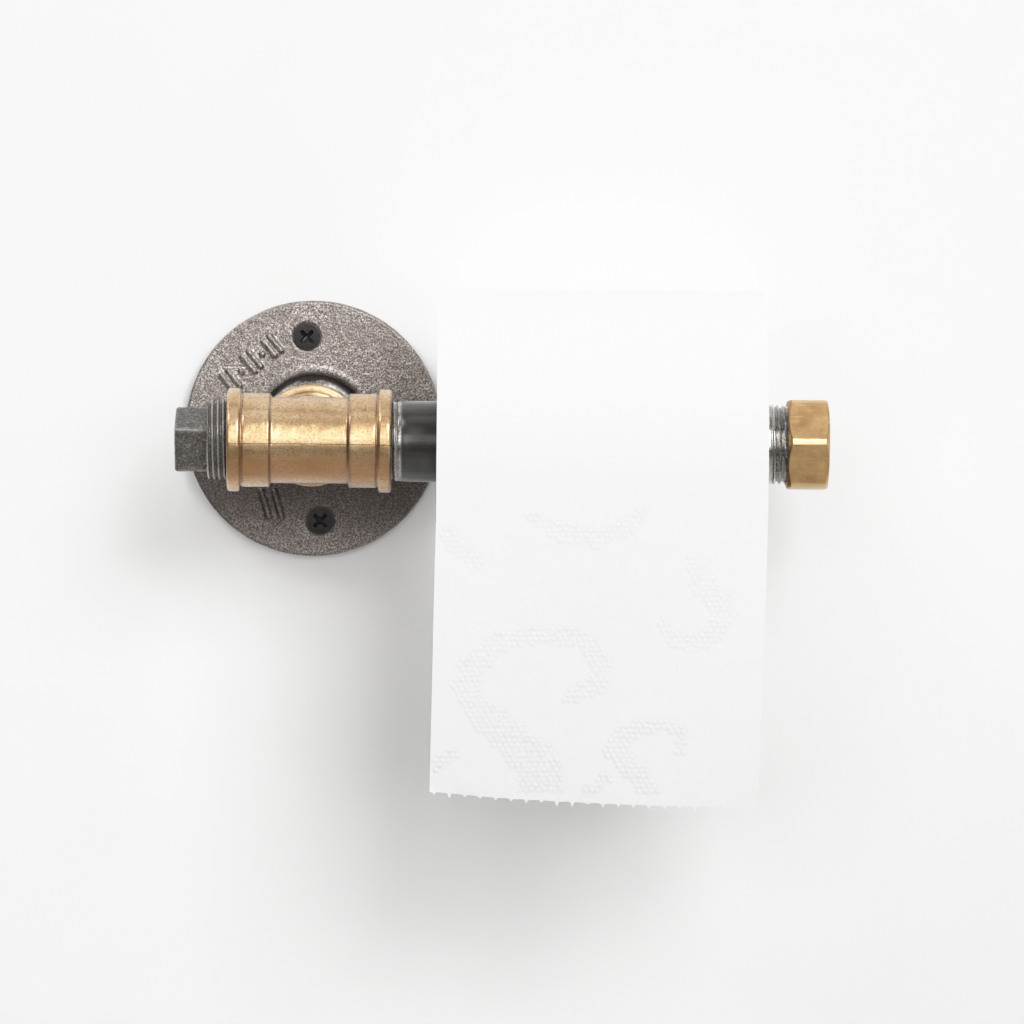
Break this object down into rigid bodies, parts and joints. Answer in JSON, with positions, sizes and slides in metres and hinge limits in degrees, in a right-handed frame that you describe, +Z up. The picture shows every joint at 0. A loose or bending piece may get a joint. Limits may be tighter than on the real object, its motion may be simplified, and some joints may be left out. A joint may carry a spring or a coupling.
{
  "type": "toilet paper holder",
  "caption": "Wall-mounted toilet paper holder of threaded pipe fittings: flange, tee, plug, pipe and screw-on cap, carrying a paper roll.",
  "frame": {"origin": "centre of the wall flange's back face, in the plane of the wall", "axes": "+X along the roll pipe from the tee to the cap, +Y into the wall, +Z up"},
  "size_m": [0.2159, 0.1555, 0.1652],
  "materials": {
    "flange_iron": "matte",
    "black_screw": "satin",
    "nipple_steel": "satin",
    "bronze": "satin",
    "plug_iron": "matte",
    "black_pipe": "gloss",
    "washer_rubber": "matte",
    "cap_brass": "satin",
    "core_board": "matte",
    "tissue": "matte"
  },
  "bodies": {
    "wall_bracket": {"wall_flange": "flange_iron", "wall_screws": "black_screw", "branch_nipple": "nipple_steel", "pipe_tee": "bronze", "end_plug": "plug_iron", "roll_pipe": "black_pipe"},
    "sheet_lead": {"sheet_lead": "tissue"},
    "paper_roll": {"cardboard_core": "core_board", "paper_roll": "tissue"},
    "last_sheet": {"last_sheet": "tissue"},
    "cap_washer": {"cap_washer": "washer_rubber"},
    "end_cap": {"end_cap": "cap_brass"}
  },
  "joints": [
    {"name": "roll_shift", "type": "slide", "parent": "wall_bracket", "child": "sheet_lead", "axis": [1, 0, 0], "range_m": [-0.0143, 0.0081]},
    {"name": "roll_spin", "type": "hinge", "parent": "sheet_lead", "child": "paper_roll", "pos_m": [0.09555, -0.0635, -0.00635], "axis": [1, 0, 0], "range_deg": [0, 101]},
    {"name": "sheet_feed", "type": "slide", "parent": "sheet_lead", "child": "last_sheet", "axis": [0, 0, -1], "range_m": [0, 0.1001], "deforming": ["sheet_lead"]},
    {"name": "cap_travel", "type": "slide", "parent": "wall_bracket", "child": "cap_washer", "axis": [1, 0, 0], "range_m": [0, 0.0146]},
    {"name": "cap_turn", "type": "hinge", "parent": "cap_washer", "child": "end_cap", "pos_m": [0.1645, -0.0635, 0], "axis": [1, 0, 0], "range_deg": [0, 2880]}
  ],
  "couplings": [
    {"joint": "sheet_feed", "follows": "roll_spin", "m_per_rad": 0.0567},
    {"joint": "cap_travel", "follows": "cap_turn", "m_per_rad": 0.00028871}
  ]
}
